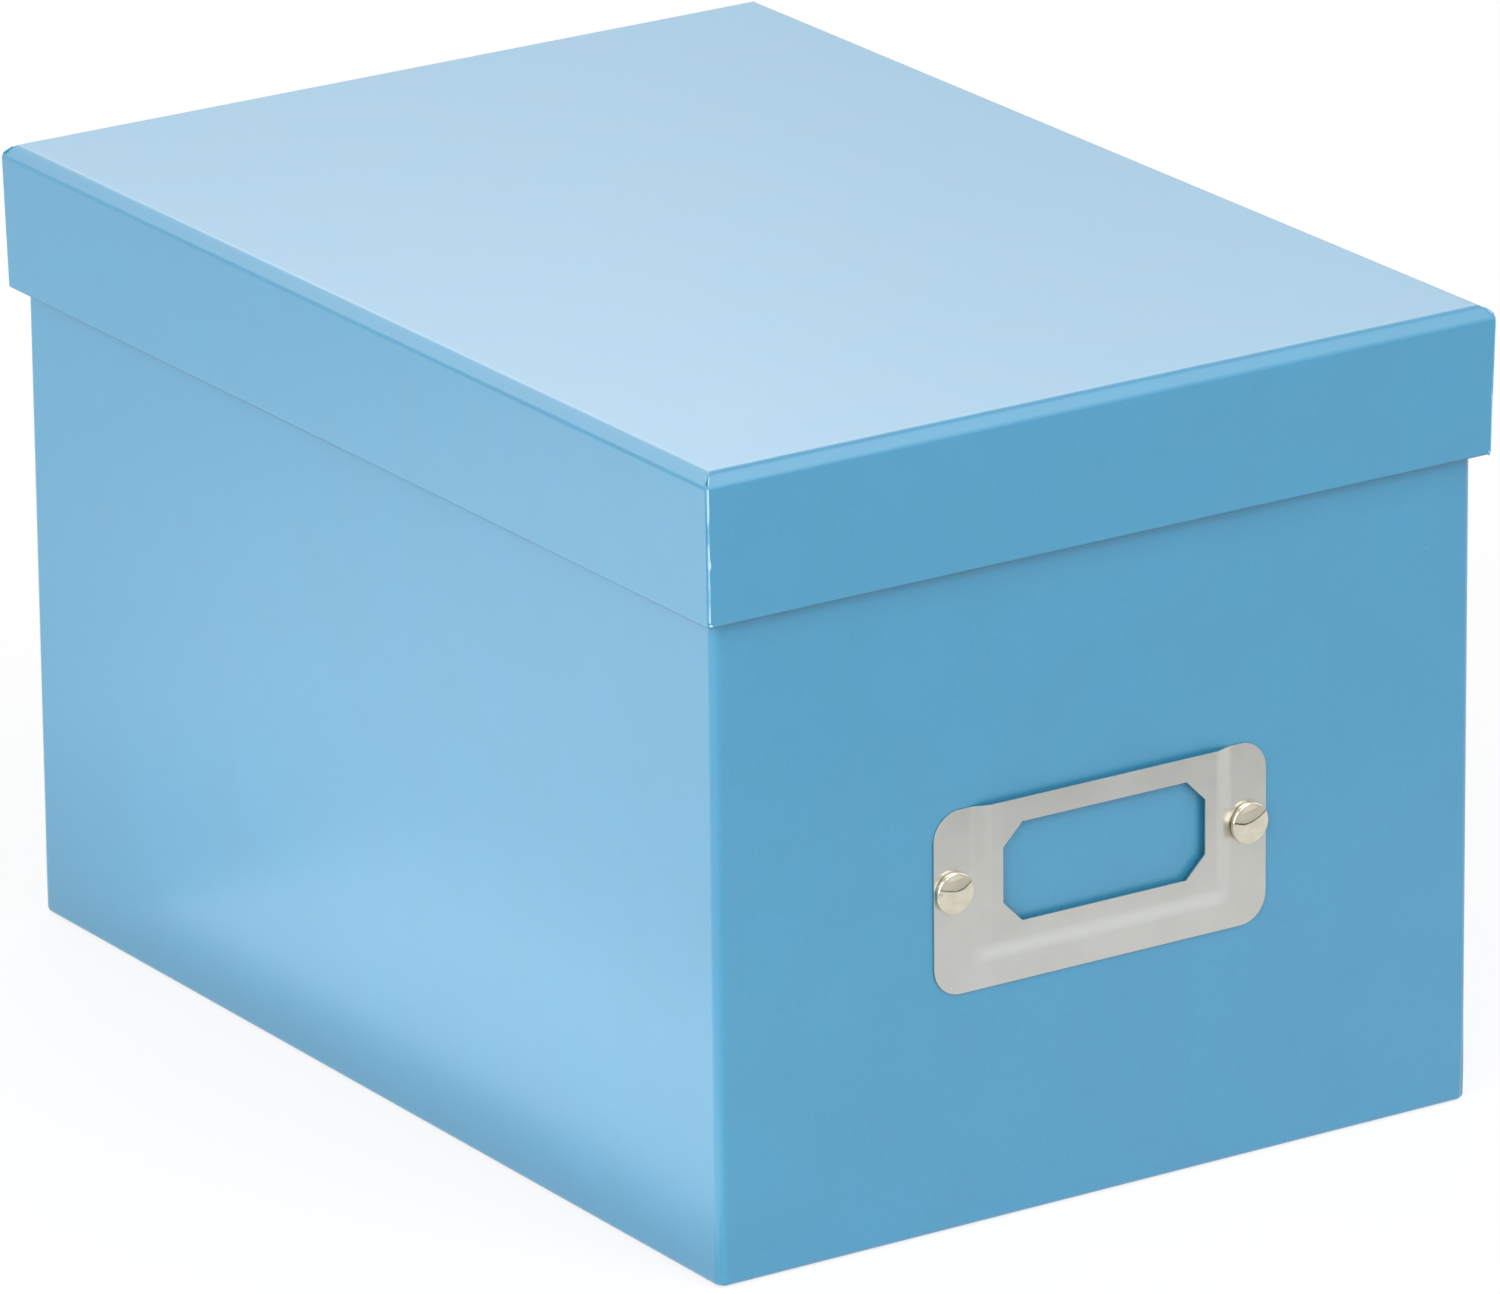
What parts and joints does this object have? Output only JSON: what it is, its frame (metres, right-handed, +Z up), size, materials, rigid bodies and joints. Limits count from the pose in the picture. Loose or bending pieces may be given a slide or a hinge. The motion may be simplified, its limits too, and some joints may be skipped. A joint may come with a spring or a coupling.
{
  "type": "storage box",
  "caption": "Paper-covered greyboard storage box with a lift-off lid and a pressed steel label holder, held on its front by split-leg fasteners.",
  "frame": {"origin": "centre of the box's underside, on the surface that it stands on", "axes": "+Z up, the way the lid lifts; -Y is the front, the short wall with the label holder; +Y runs along the length; +X is to the right seen from the front"},
  "size_m": [0.166, 0.236, 0.1495],
  "materials": {
    "blue_paper": "sky-blue paper with a satin clear coat",
    "white_lining": "matte white lining paper",
    "greyboard": "raw grey chipboard",
    "corner_tape": "brown gummed kraft tape",
    "plated_steel": "nickel-plated sheet steel, satin",
    "nickel": "polished warm nickel plate"
  },
  "bodies": {
    "tray": {"tray_board": "greyboard", "tray_corner_stay_back_right": "corner_tape", "tray_corner_stay_back_left": "corner_tape", "tray_corner_stay_front_left": "corner_tape", "tray_corner_stay_front_right": "corner_tape", "tray_wrap": "blue_paper", "tray_base_sheet": "blue_paper", "tray_liner": "white_lining", "label_frame": "plated_steel", "fastener_cap_left": "nickel", "fastener_cap_right": "nickel", "fastener_strip_left": "nickel", "fastener_strip_right": "nickel"},
    "lid": {"lid_board": "greyboard", "lid_corner_stay_back_right": "corner_tape", "lid_corner_stay_back_left": "corner_tape", "lid_corner_stay_front_left": "corner_tape", "lid_corner_stay_front_right": "corner_tape", "lid_wrap": "blue_paper", "lid_liner": "white_lining"}
  },
  "joints": [
    {"name": "lid_lift", "type": "slide", "parent": "tray", "child": "lid", "axis": [0, 0, 1], "range_m": [0, 0.12]}
  ]
}
